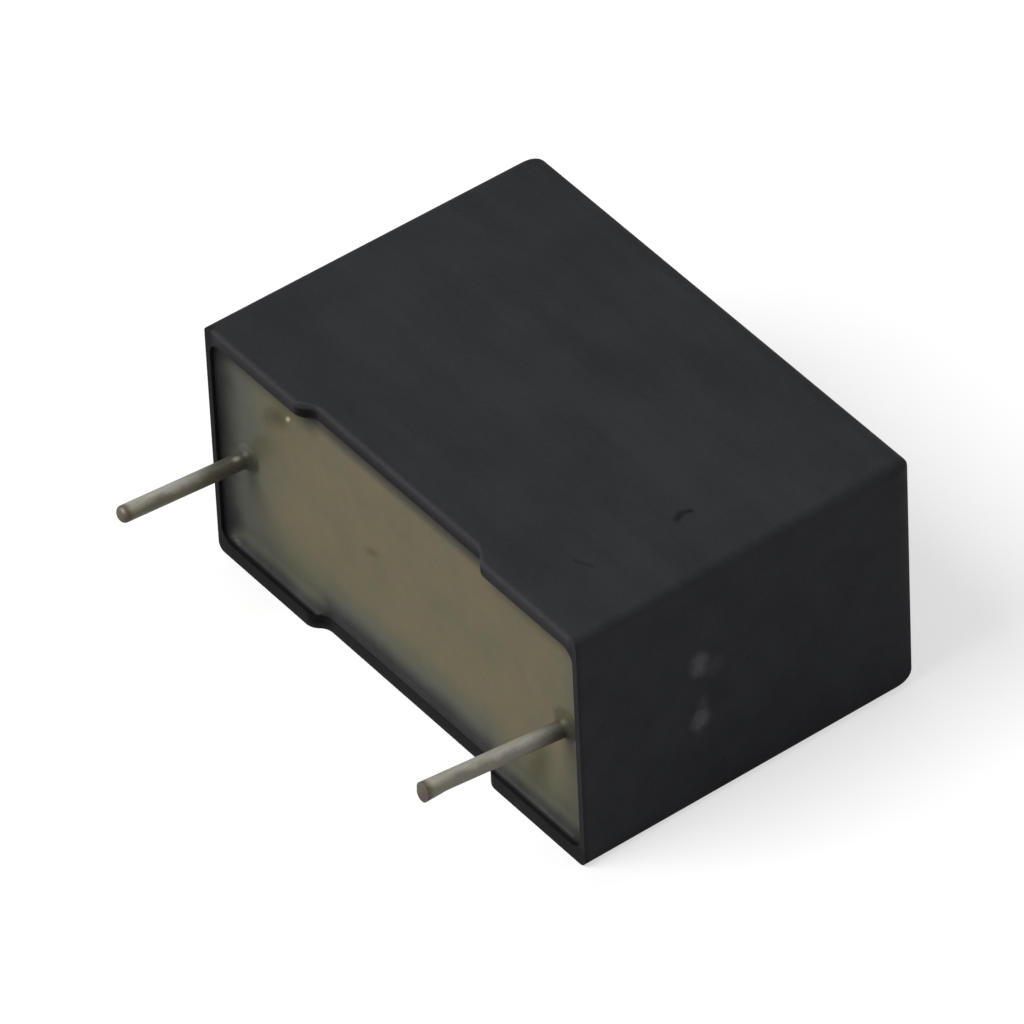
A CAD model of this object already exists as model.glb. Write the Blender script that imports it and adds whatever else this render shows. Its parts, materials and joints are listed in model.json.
"""Looks of the box film capacitor: its moulded case, its potting resin and its tinned leads.

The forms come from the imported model. Here each node gets its material, and the
scene gets its camera, floor and lights. One form is added: the resin drawn up
round each lead. Patterns are laid out in millimetres in the seat frame: X = 0 is
midway between the ends, Y = 0 is the plane of the feet and Z = 0 is the
underside, so they stay put on the part.
"""

import json
import math

import bmesh
import bpy
from mathutils import Matrix, Vector


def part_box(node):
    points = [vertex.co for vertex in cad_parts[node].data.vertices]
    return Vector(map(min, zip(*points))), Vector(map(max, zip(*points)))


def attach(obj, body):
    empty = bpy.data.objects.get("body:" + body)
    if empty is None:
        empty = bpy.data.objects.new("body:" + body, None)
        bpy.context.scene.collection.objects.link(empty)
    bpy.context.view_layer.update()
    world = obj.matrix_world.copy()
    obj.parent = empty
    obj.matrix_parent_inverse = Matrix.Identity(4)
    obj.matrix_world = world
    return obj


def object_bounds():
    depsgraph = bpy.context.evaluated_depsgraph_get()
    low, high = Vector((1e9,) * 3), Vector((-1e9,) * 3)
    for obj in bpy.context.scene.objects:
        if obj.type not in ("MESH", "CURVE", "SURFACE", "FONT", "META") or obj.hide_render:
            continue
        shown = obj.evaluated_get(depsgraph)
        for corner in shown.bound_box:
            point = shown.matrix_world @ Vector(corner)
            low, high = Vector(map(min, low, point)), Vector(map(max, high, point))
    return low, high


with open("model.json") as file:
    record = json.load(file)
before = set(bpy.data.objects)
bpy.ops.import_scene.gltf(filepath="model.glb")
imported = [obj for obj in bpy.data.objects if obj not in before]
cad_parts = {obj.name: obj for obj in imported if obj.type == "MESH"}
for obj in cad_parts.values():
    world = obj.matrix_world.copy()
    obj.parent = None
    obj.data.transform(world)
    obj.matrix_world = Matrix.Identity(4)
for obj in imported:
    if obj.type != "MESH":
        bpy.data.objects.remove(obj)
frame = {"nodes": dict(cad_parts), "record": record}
cad_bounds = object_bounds()
nodes = frame["nodes"]
scene = bpy.context.scene

# From metres, which the frame is in, to millimetres and back
TO_MM = 1000.0
TO_M = 0.001

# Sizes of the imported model: the plane of the feet in the frame, half the case's
# length and its thickness. All sizes from here on are in millimetres, but for
# those of the floor, the lamps and the camera.
case_low, case_high = (Vector(corner) * TO_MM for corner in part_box("case"))
SEAT_Y = case_low.y
HALF_L = case_high.x
THICK = case_high.z

# Sizes of the source that the patterns and the collars follow, in the seat frame:
# the recess between the feet is RECESS_H deep, and it rises to the feet between
# LEVEL_END and FOOT_END from the middle
RECESS_H = 0.55
FOOT_END = 6.7
LEVEL_END = 5.4
RESIN_Y = 0.62
LEAD_R = 0.4
LEAD_X = 11.25
# Left lead, then right lead: height of its middle line in the resin, rise per
# millimetre beyond the bend, and roughly where it ends
LEAD_Z = (6.14, 6.64)
LEAD_SLOPE = (0.0892, 0.1157)
LEAD_END = (-6.1, -7.0)
# Where the bends begin, and roughly where the lines before and after them cross
BEND_Y = 0.45
CROSS_Y = 0.4
# How much the way up and the way left from a wire's middle line count towards
# its bright side; together they come to 1 at its surface
LIT_UP = 1.66
LIT_LEFT = 1.87

# ---------------------------------------------------------------- materials


class Paint:
    """One node material, with short calls for the nodes that the patterns need.

    mm is the shaded point in the seat frame, in millimetres, and x, y and z are its parts.
    """

    def __init__(self, name):
        self.material = bpy.data.materials.new(name)
        self.material.use_nodes = True
        self.tree = self.material.node_tree
        self.tree.nodes.clear()
        place = self.node("ShaderNodeTexCoord").outputs["Object"]
        place = self.vector("SCALE", place, scale=TO_MM)
        self.mm = self.vector("SUBTRACT", place, (0.0, SEAT_Y, 0.0))
        split = self.node("ShaderNodeSeparateXYZ", {"Vector": self.mm})
        self.x, self.y, self.z = split.outputs

    def node(self, kind, inputs=(), **settings):
        made = self.tree.nodes.new(kind)
        for key, value in settings.items():
            setattr(made, key, value)
        for key, value in dict(inputs).items():
            self.put(made.inputs[key], value)
        return made

    def put(self, socket, value):
        if isinstance(value, bpy.types.NodeSocket):
            self.tree.links.new(value, socket)
        else:
            socket.default_value = value

    def math(self, operation, *values):
        made = self.node("ShaderNodeMath", operation=operation)
        for socket, value in zip(made.inputs, values):
            self.put(socket, value)
        return made.outputs[0]

    def vector(self, operation, *values, scale=None):
        """Vector maths; a length or a dot product comes back as a number."""
        made = self.node("ShaderNodeVectorMath", operation=operation)
        for socket, value in zip(made.inputs, values):
            self.put(socket, value)
        if scale is not None:
            self.put(made.inputs["Scale"], scale)
        return made.outputs["Value" if operation in ("LENGTH", "DOT_PRODUCT") else "Vector"]

    def chain(self, operation, values):
        """One value made of several, taken two at a time."""
        made = values[0]
        for value in values[1:]:
            made = self.math(operation, made, value)
        return made

    def times(self, *values):
        """The product of masks."""
        return self.chain("MULTIPLY", values)

    def most(self, *values):
        """The greatest of masks."""
        return self.chain("MAXIMUM", values)

    def ramp(self, value, low, high, to_low=0.0, to_high=1.0):
        """A smooth step from to_low at low to to_high at high; low may be above high."""
        if low > high:
            low, high, to_low, to_high = high, low, to_high, to_low
        limits = {"From Min": low, "From Max": high, "To Min": to_low, "To Max": to_high}
        made = self.node(
            "ShaderNodeMapRange",
            {"Value": value, **limits},
            interpolation_type="SMOOTHSTEP",
        )
        return made.outputs["Result"]

    def mix(self, factor, a, b, blend="MIX"):
        """Colour a where factor is 0, and b where it is 1."""
        made = self.node("ShaderNodeMix", data_type="RGBA", blend_type=blend)
        # The colour sockets of the Mix node come after those for numbers and vectors
        self.put(made.inputs[0], factor)
        self.put(made.inputs[6], a)
        self.put(made.inputs[7], b)
        return made.outputs[2]

    def blend(self, factor, a, b):
        """Number a where factor is 0, and b where it is 1."""
        made = self.node("ShaderNodeMix", data_type="FLOAT")
        self.put(made.inputs[0], factor)
        self.put(made.inputs[2], a)
        self.put(made.inputs[3], b)
        return made.outputs[0]

    def noise(self, scale, detail=2.0, rough=0.5, stretch=None):
        """Noise with this many lumps per millimetre; a stretch below 1 draws them out."""
        place = self.mm if stretch is None else self.vector("MULTIPLY", self.mm, stretch)
        made = self.node(
            "ShaderNodeTexNoise",
            {"Vector": place, "Scale": scale, "Detail": detail, "Roughness": rough},
        )
        return made.outputs["Fac"]

    def dots(self, scale, radius, share):
        """Scattered round dots: 1 in the middle of a dot, in this share of the cells."""
        made = self.node("ShaderNodeTexVoronoi", {"Vector": self.mm, "Scale": scale})
        chosen = self.node("ShaderNodeSeparateColor", {"Color": made.outputs["Color"]}).outputs[0]
        chosen = self.math("LESS_THAN", chosen, share)
        return self.times(chosen, self.ramp(made.outputs["Distance"], radius, 0.0))

    def spot(self, centre, size, inner=0.0, turn=0.0, wobble=0.0):
        """A soft ellipsoid with these half axes, turned about the Y axis.

        It is 1 up to the share inner of its size and fades to 0 at its surface,
        which wobble makes uneven.
        """
        away = self.vector("SUBTRACT", self.mm, centre)
        if turn:
            rotate = {"Vector": away, "Angle": turn}
            away = self.node("ShaderNodeVectorRotate", rotate, rotation_type="Y_AXIS").outputs[0]
        away = self.vector("DIVIDE", away, size)
        far = self.vector("LENGTH", away)
        if wobble:
            uneven = self.math("SUBTRACT", self.noise(1.6, 3.0), 0.5)
            far = self.math("MULTIPLY_ADD", uneven, wobble, far)
        return self.ramp(far, 1.0, inner)

    def stroke(self, start, end, width):
        """1 along a straight line on the surface, fading to 0 at half the width."""
        run = Vector(end) - Vector(start)
        away = self.vector("SUBTRACT", self.mm, start)
        along = self.vector("DOT_PRODUCT", away, run.normalized())
        along = self.math("MINIMUM", self.most(along, 0.0), run.length)
        foot = self.vector("SCALE", tuple(run.normalized()), scale=along)
        far = self.vector("LENGTH", self.vector("SUBTRACT", away, foot))
        return self.ramp(far, width / 2, 0.0)

    def bump(self, height, distance):
        """A relief: height 0 to 1 times distance, in millimetres."""
        relief = {"Height": height, "Distance": distance * TO_M, "Strength": 1.0}
        return self.node("ShaderNodeBump", relief).outputs["Normal"]

    def shader(self, **inputs):
        """Ends the material in a Principled shader; an underscore stands for a space."""
        named = {key.replace("_", " "): value for key, value in inputs.items()}
        made = self.node("ShaderNodeBsdfPrincipled", named)
        out = self.node("ShaderNodeOutputMaterial")
        self.tree.links.new(made.outputs["BSDF"], out.inputs["Surface"])


def rgb(r, g, b):
    """A linear colour from the usual 0 to 255 values."""
    def linear(c):
        c /= 255
        return c / 12.92 if c <= 0.04045 else ((c + 0.055) / 1.055) ** 2.4
    return (linear(r), linear(g), linear(b), 1.0)


def between_feet(p):
    """1 over the recess between the feet, 0 over the feet."""
    return p.ramp(p.math("ABSOLUTE", p.x), FOOT_END, LEVEL_END)


def case_plastic():
    p = Paint("case_plastic")
    recess = between_feet(p)
    cloud = p.noise(0.22, 4.0, 0.6)
    flow = p.noise(1.0, 3.0, 0.6, stretch=(0.09, 0.5, 0.5))
    grain = p.noise(5.0, 3.0, 0.7)
    tone = p.math("MULTIPLY_ADD", cloud, 0.45, p.math("MULTIPLY", flow, 0.4))
    tone = p.math("MULTIPLY_ADD", grain, 0.3, tone)
    colour = p.mix(p.ramp(tone, 0.38, 0.75), rgb(40, 41, 44), rgb(49, 50, 53))

    # Wear along the rim's outer edges and pale rub marks on the flat faces
    rim = p.math("SUBTRACT", p.y, p.times(recess, RECESS_H))
    flank = p.math("ABSOLUTE", p.math("SUBTRACT", p.z, THICK / 2))
    outer = p.ramp(flank, THICK / 2 - 0.32, THICK / 2 - 0.02)
    wear = p.times(p.ramp(rim, 0.22, 0.02), outer, p.ramp(grain, 0.25, 0.6, 0.5, 1.0))
    colour = p.mix(p.times(wear, 0.5), colour, rgb(74, 74, 74))
    rub = p.most(
        p.spot((HALF_L, 6.4, 8.0), (0.5, 0.72, 1.05), inner=0.1, wobble=0.8),
        p.spot((HALF_L, 6.35, 4.8), (0.5, 0.7, 0.9), inner=0.1, wobble=0.8),
    )
    tail = p.most(
        p.spot((HALF_L, 7.1, 7.5), (0.5, 0.9, 0.8), wobble=0.6),
        p.spot((HALF_L, 6.5, 5.65), (0.5, 0.6, 0.8), wobble=0.6),
    )
    rub = p.most(rub, p.times(tail, 0.3))
    colour = p.mix(p.times(rub, p.ramp(grain, 0.3, 0.7, 0.6, 1.0)), colour, rgb(90, 90, 96))

    # Tiny pits, one hooked hollow and one small scuff
    pits = p.dots(0.55, 0.075, 0.3)
    hollow = p.most(
        p.stroke((9.66, 8.0, THICK), (9.47, 8.35, THICK), 0.6),
        p.stroke((9.47, 8.35, THICK), (9.62, 8.75, THICK), 0.5),
    )
    scuff = p.stroke((8.95, 3.1, THICK), (9.7, 3.45, THICK), 0.3)
    dark = p.most(p.times(pits, 0.55), p.times(hollow, 0.9), p.times(scuff, 0.5))
    colour = p.mix(dark, colour, rgb(22, 23, 26))

    # The lower and left parts of the rim are dark, with the cavity's walls beside them
    side = p.math("ABSOLUTE", p.x)
    front = p.ramp(p.y, 0.9, 0.7)
    face = p.ramp(rim, 0.35, 0.0)
    below = p.most(
        p.ramp(p.z, 1.3, 0.8),
        p.ramp(p.x, -12.3, -12.6),
        p.times(p.ramp(p.x, 12.4, 12.7), 0.45),
    )
    inside = p.times(p.ramp(p.y, 0.0, 0.06), p.ramp(outer, 0.3, 0.0), p.ramp(side, 12.85, 12.7))
    inside = p.times(inside, front)
    colour = p.mix(p.times(p.most(face, inside), below, 0.8), colour, rgb(9, 9, 11))

    # The rim's inner half is shaded, and the steps beside the recess are darkest
    inner = p.ramp(flank, THICK / 2 - 0.15, THICK / 2 - 0.7)
    shade = p.times(inner, p.ramp(side, 12.8, 12.6), front, p.blend(recess, 0.45, 0.8))
    colour = p.mix(shade, colour, rgb(16, 16, 18))
    step = p.times(p.ramp(side, 5.3, 6.0), p.ramp(side, 6.9, 6.2))
    step = p.times(step, p.ramp(inner, 0.0, 0.35), p.ramp(p.y, 0.62, 0.5))
    colour = p.mix(step, colour, rgb(4, 4, 5))

    relief = p.math("MULTIPLY_ADD", grain, 0.5, p.times(p.noise(9.0, 2.0), 0.5))
    relief = p.math("SUBTRACT", relief, p.times(p.most(pits, hollow), 2.0))
    rough = p.math("MULTIPLY_ADD", p.noise(0.8, 3.0), 0.16, 0.48)
    p.shader(
        Base_Color=colour,
        Roughness=rough,
        Normal=p.bump(relief, 0.012),
        Specular_IOR_Level=0.15,
    )
    return p.material


def resin():
    p = Paint("resin")
    recess = between_feet(p)
    cloud = p.noise(0.35, 4.0, 0.6)
    speck = p.noise(2.4, 3.0, 0.65)
    main = p.mix(p.ramp(cloud, 0.3, 0.7), rgb(109, 102, 76), rgb(103, 99, 76))
    warm = p.mix(1.0, main, (1.05, 0.985, 0.95, 1.0), "MULTIPLY")
    main = p.mix(p.ramp(speck, 0.35, 0.65), main, warm)

    # The resin is cloudy: through it the dark walls show near the ends, the
    # underside and the upper rim, grey first and then nearly black
    wander = p.math("MULTIPLY", p.math("SUBTRACT", p.noise(0.5, 3.0), 0.5), 1.1)
    low = p.math("ADD", p.z, p.times(wander, 0.5))
    left = p.math("ADD", p.x, wander)
    low_dark = p.blend(recess, p.ramp(low, 0.67, 1.42), p.ramp(low, 0.95, 2.35))
    low_grey = p.blend(recess, p.ramp(low, 0.6, 3.8), p.ramp(low, 1.6, 4.0))
    left_dark = p.ramp(left, -12.9, -11.5)
    left_grey = p.ramp(left, -12.0, -7.8)
    right_grey = p.ramp(p.x, 12.9, 10.6)
    top_clear = p.blend(recess, p.ramp(p.z, 12.1, 10.5), p.ramp(p.z, 12.45, 11.2))
    colour = p.mix(p.times(low_grey, left_grey, right_grey), rgb(84, 86, 76), main)
    clear = p.times(p.math("MINIMUM", low_dark, left_dark), top_clear, p.ramp(p.x, 12.75, 12.2))
    colour = p.mix(clear, rgb(27, 29, 31), colour)

    # Amber stains, a bubble with its bright glint, and specks
    amber = p.most(
        p.times(p.spot((-8.9, 0.6, 10.1), (1.9, 1.0, 0.8), turn=0.75, wobble=0.5), 0.8),
        p.times(p.spot((-2.3, 0.6, 6.95), (1.0, 1.0, 0.38), turn=0.45, wobble=0.5), 0.5),
        p.times(p.spot((-10.4, 0.6, 7.6), (1.7, 1.0, 0.6), turn=0.9, wobble=0.4), 0.3),
        p.times(p.spot((9.2, 0.6, 3.0), (1.1, 1.0, 2.6), turn=-0.4), 0.65),
    )
    colour = p.mix(amber, colour, rgb(66, 60, 30))
    glint = p.spot((-8.0, 0.6, 10.62), (0.34, 0.5, 0.17), turn=0.9)
    specks = p.times(p.dots(1.3, 0.12, 0.12), p.ramp(left, -9.0, -11.5), p.ramp(p.z, 6.0, 3.5))
    light = p.most(p.times(glint, 0.9), p.times(specks, 0.5))
    colour = p.mix(light, colour, rgb(196, 188, 148))

    # Round the leads the drawn-up resin is thin and dark
    ring = p.most(
        p.times(p.spot((-10.95, 0.4, 6.15), (0.85, 0.7, 0.95), inner=0.35), 0.8),
        p.times(p.spot((11.25, 0.4, 6.7), (1.1, 0.9, 1.1), inner=0.55), 0.6),
    )
    colour = p.mix(ring, colour, rgb(34, 33, 24))

    relief = p.math("ADD", p.noise(0.6, 3.0), p.times(p.noise(4.0, 2.0), 0.12))
    rough = p.math("MULTIPLY_ADD", p.noise(1.2, 3.0), 0.2, 0.34)
    p.shader(
        Base_Color=colour,
        Roughness=rough,
        Normal=p.bump(relief, 0.05),
        Specular_IOR_Level=0.3,
    )
    return p.material


def tinned_wire():
    p = Paint("tinned_wire")
    drawn = p.noise(3.0, 4.0, 0.65, stretch=(1.0, 0.12, 1.0))
    blotch = p.noise(1.1, 4.0, 0.6)

    # From -1 on the dull side of the wire to 1 on its bright side, which faces
    # up and to the left, with an uneven limit between them
    right = p.math("GREATER_THAN", p.x, 0.0)
    rise = p.math("MULTIPLY", p.blend(right, *LEAD_SLOPE), p.math("SUBTRACT", CROSS_Y, p.y))
    high = p.math("SUBTRACT", p.z, p.math("ADD", rise, p.blend(right, *LEAD_Z)))
    out = p.math("SUBTRACT", p.math("MULTIPLY_ADD", right, 2 * LEAD_X, -LEAD_X), p.x)
    lit = p.math("MULTIPLY_ADD", high, LIT_UP, p.math("MULTIPLY", out, LIT_LEFT))
    lit = p.math("MULTIPLY_ADD", p.math("SUBTRACT", blotch, 0.5), 1.4, lit)

    bright = p.mix(p.ramp(drawn, 0.3, 0.7), rgb(186, 183, 160), rgb(208, 206, 200))
    colour = p.mix(p.ramp(lit, -0.5, 0.5), rgb(145, 140, 127), bright)
    colour = p.mix(p.ramp(blotch, 0.55, 0.75, 0.0, 0.5), colour, rgb(150, 143, 112))
    pits = p.dots(2.4, 0.14, 0.25)
    colour = p.mix(p.times(pits, 0.5), colour, rgb(90, 86, 74))

    # The tin is dull and olive near the resin, with one glint, and brown on the cut tips
    near = p.ramp(p.math("SUBTRACT", p.y, p.times(right, 1.2)), -3.1, -0.7)
    colour = p.mix(p.times(near, 0.85), colour, rgb(78, 76, 63))
    tip = p.ramp(p.math("SUBTRACT", p.y, p.blend(right, *LEAD_END)), 0.5, 0.12)
    colour = p.mix(p.times(tip, 0.8), colour, rgb(98, 84, 74))
    glint = p.spot((-11.12, -0.08, 6.55), (0.2, 0.3, 0.2))
    colour = p.mix(p.times(glint, 0.8), colour, rgb(204, 198, 172))

    rough = p.math("MULTIPLY_ADD", blotch, 0.3, 0.34)
    relief = p.math("SUBTRACT", drawn, pits)
    p.shader(
        Base_Color=colour,
        Roughness=rough,
        Metallic=0.6,
        Normal=p.bump(relief, 0.012),
    )
    return p.material


def film():
    p = Paint("film")
    wave = {"Vector": p.mm, "Scale": 2.0, "Distortion": 1.5, "Detail": 2.0}
    turns = p.node("ShaderNodeTexWave", wave, bands_direction="Z").outputs["Fac"]
    colour = p.mix(p.ramp(turns, 0.2, 0.8), rgb(168, 171, 170), rgb(190, 193, 192))
    colour = p.mix(p.ramp(p.noise(0.5, 3.0), 0.5, 0.8, 0.0, 0.4), colour, rgb(140, 144, 146))
    rough = p.math("MULTIPLY_ADD", p.noise(2.0, 2.0), 0.2, 0.2)
    p.shader(Base_Color=colour, Roughness=rough, Metallic=0.5, Normal=p.bump(turns, 0.01))
    return p.material


def zinc():
    p = Paint("zinc")
    splats = p.noise(5.0, 5.0, 0.75)
    colour = p.mix(p.ramp(splats, 0.3, 0.7), rgb(104, 106, 108), rgb(150, 152, 154))
    rough = p.math("MULTIPLY_ADD", splats, 0.3, 0.6)
    p.shader(Base_Color=colour, Roughness=rough, Metallic=0.6, Normal=p.bump(splats, 0.08))
    return p.material


MADE = {
    "case_plastic": case_plastic(),
    "resin": resin(),
    "tinned_wire": tinned_wire(),
    "film": film(),
    "zinc": zinc(),
}
for part in frame["record"]["subparts"]:
    piece = nodes[part["node"]]
    for material_slot in piece.material_slots:
        material_slot.material = MADE[part["material_slot"]]

# ---------------------------------------------------------- drawn-up resin

# A collar's height, and how much wider its base is than its top
COLLAR_H = 0.5
COLLAR_FLARE = 0.4
# How far its base lies under the resin's surface, and its top under the wire's
SINK = 0.02
# How far from round its base is, as a share of the radius
WAVER = 0.05


def collar(name, x, z, slope):
    """Resin drawn up round a lead: a hollow-flanked cone that follows the wire's bend."""
    rings, turns = 14, 48
    mesh = bmesh.new()

    def ring(y, radius, waver):
        """A ring round the wire at the place y; waver makes it slightly oval."""
        row = []
        lift = slope * max(0.0, BEND_Y - y)
        for k in range(turns):
            a = 2 * math.pi * k / turns
            r = radius * (1 + waver * math.sin(2 * a + x))
            place = (x + r * math.cos(a), y + SEAT_Y, z + lift + r * math.sin(a))
            row.append(mesh.verts.new(place))
        return row

    base_y = RESIN_Y + SINK
    rows = []
    for i in range(rings + 1):
        t = i / rings
        radius = LEAD_R - SINK + COLLAR_FLARE * (1 - t) ** 2
        rows.append(ring(base_y - COLLAR_H * t, radius, WAVER * (1 - t)))
    # The inner wall, inside the wire, closes the body
    rows.append(ring(base_y, LEAD_R - 2 * SINK, 0.0))
    for low, high in zip(rows, rows[1:] + rows[:1]):
        for k in range(turns):
            mesh.faces.new((low[k], low[k - 1], high[k - 1], high[k]))
    bmesh.ops.scale(mesh, vec=(TO_M, TO_M, TO_M), verts=mesh.verts)
    bmesh.ops.recalc_face_normals(mesh, faces=mesh.faces)
    data = bpy.data.meshes.new(name)
    mesh.to_mesh(data)
    mesh.free()
    data.shade_smooth()
    data.materials.append(MADE["resin"])
    made = bpy.data.objects.new(name, data)
    scene.collection.objects.link(made)
    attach(made, "root")


collar("left_collar", -LEAD_X, LEAD_Z[0], LEAD_SLOPE[0])
collar("right_collar", LEAD_X, LEAD_Z[1], LEAD_SLOPE[1])

# -------------------------------------------------------------- floor, light

FLOOR_SIZE = 6.0
FLOOR_GLOW = 0.6
SKY_STRENGTH = 0.3


def floor():
    """A matt grey floor that also glows to the camera, so that it shows as white."""
    bpy.ops.mesh.primitive_plane_add(size=FLOOR_SIZE, location=(0, 0, cad_bounds[0][2]))
    plane = bpy.context.object
    plane.name = "floor"
    material = bpy.data.materials.new("floor")
    material.use_nodes = True
    tree = material.node_tree
    tree.nodes.clear()
    matt = tree.nodes.new("ShaderNodeBsdfDiffuse")
    matt.inputs["Color"].default_value = (0.5, 0.5, 0.5, 1)
    glow = tree.nodes.new("ShaderNodeEmission")
    path = tree.nodes.new("ShaderNodeLightPath")
    seen = tree.nodes.new("ShaderNodeMath")
    seen.operation = "MULTIPLY"
    seen.inputs[1].default_value = FLOOR_GLOW
    tree.links.new(path.outputs["Is Camera Ray"], seen.inputs[0])
    tree.links.new(seen.outputs[0], glow.inputs["Strength"])
    both = tree.nodes.new("ShaderNodeAddShader")
    tree.links.new(matt.outputs[0], both.inputs[0])
    tree.links.new(glow.outputs[0], both.inputs[1])
    out = tree.nodes.new("ShaderNodeOutputMaterial")
    tree.links.new(both.outputs[0], out.inputs["Surface"])
    plane.data.materials.append(material)


floor()

world = bpy.data.worlds.new("sky")
scene.world = world
world.use_nodes = True
sky = world.node_tree.nodes["Background"]
sky.inputs["Color"].default_value = (1, 1, 1, 1)
sky.inputs["Strength"].default_value = SKY_STRENGTH


def lamp(name, place, size, power):
    """A square lamp aimed at the part, with its size in metres and its power in watts."""
    data = bpy.data.lights.new(name, "AREA")
    data.shape = "SQUARE"
    data.size = size
    data.energy = power
    made = bpy.data.objects.new(name, data)
    made.location = place
    aim = (Vector(cad_bounds[0]) + Vector(cad_bounds[1])) / 2 - Vector(place)
    made.rotation_euler = aim.to_track_quat("-Z", "Y").to_euler()
    scene.collection.objects.link(made)


lamp("key", (-0.16, -0.55, 0.72), size=0.55, power=7.5)
lamp("fill", (0.7, 0.1, 0.12), size=0.4, power=0.25)

# --------------------------------------------------------------------- camera


def camera():
    """The photograph's camera, fitted to the case's edges."""
    data = bpy.data.cameras.new("camera")
    data.sensor_width = 36.0
    data.lens = 470.739
    data.clip_start = 0.01
    data.clip_end = 20.0
    made = bpy.data.objects.new("camera", data)
    right = Vector((0.60787454, 0.79322588, -0.03579450))
    forward = Vector((-0.60021476, 0.42951665, -0.67472787)).normalized()
    up = right.cross(forward).normalized()
    right = forward.cross(up)
    turn = Matrix((right, up, -forward)).transposed().to_4x4()
    place = (0.342558, SEAT_Y * TO_M - 0.238743, 0.392604)
    made.matrix_world = Matrix.Translation(place) @ turn
    scene.collection.objects.link(made)
    scene.camera = made


camera()
scene.view_settings.view_transform = "Standard"
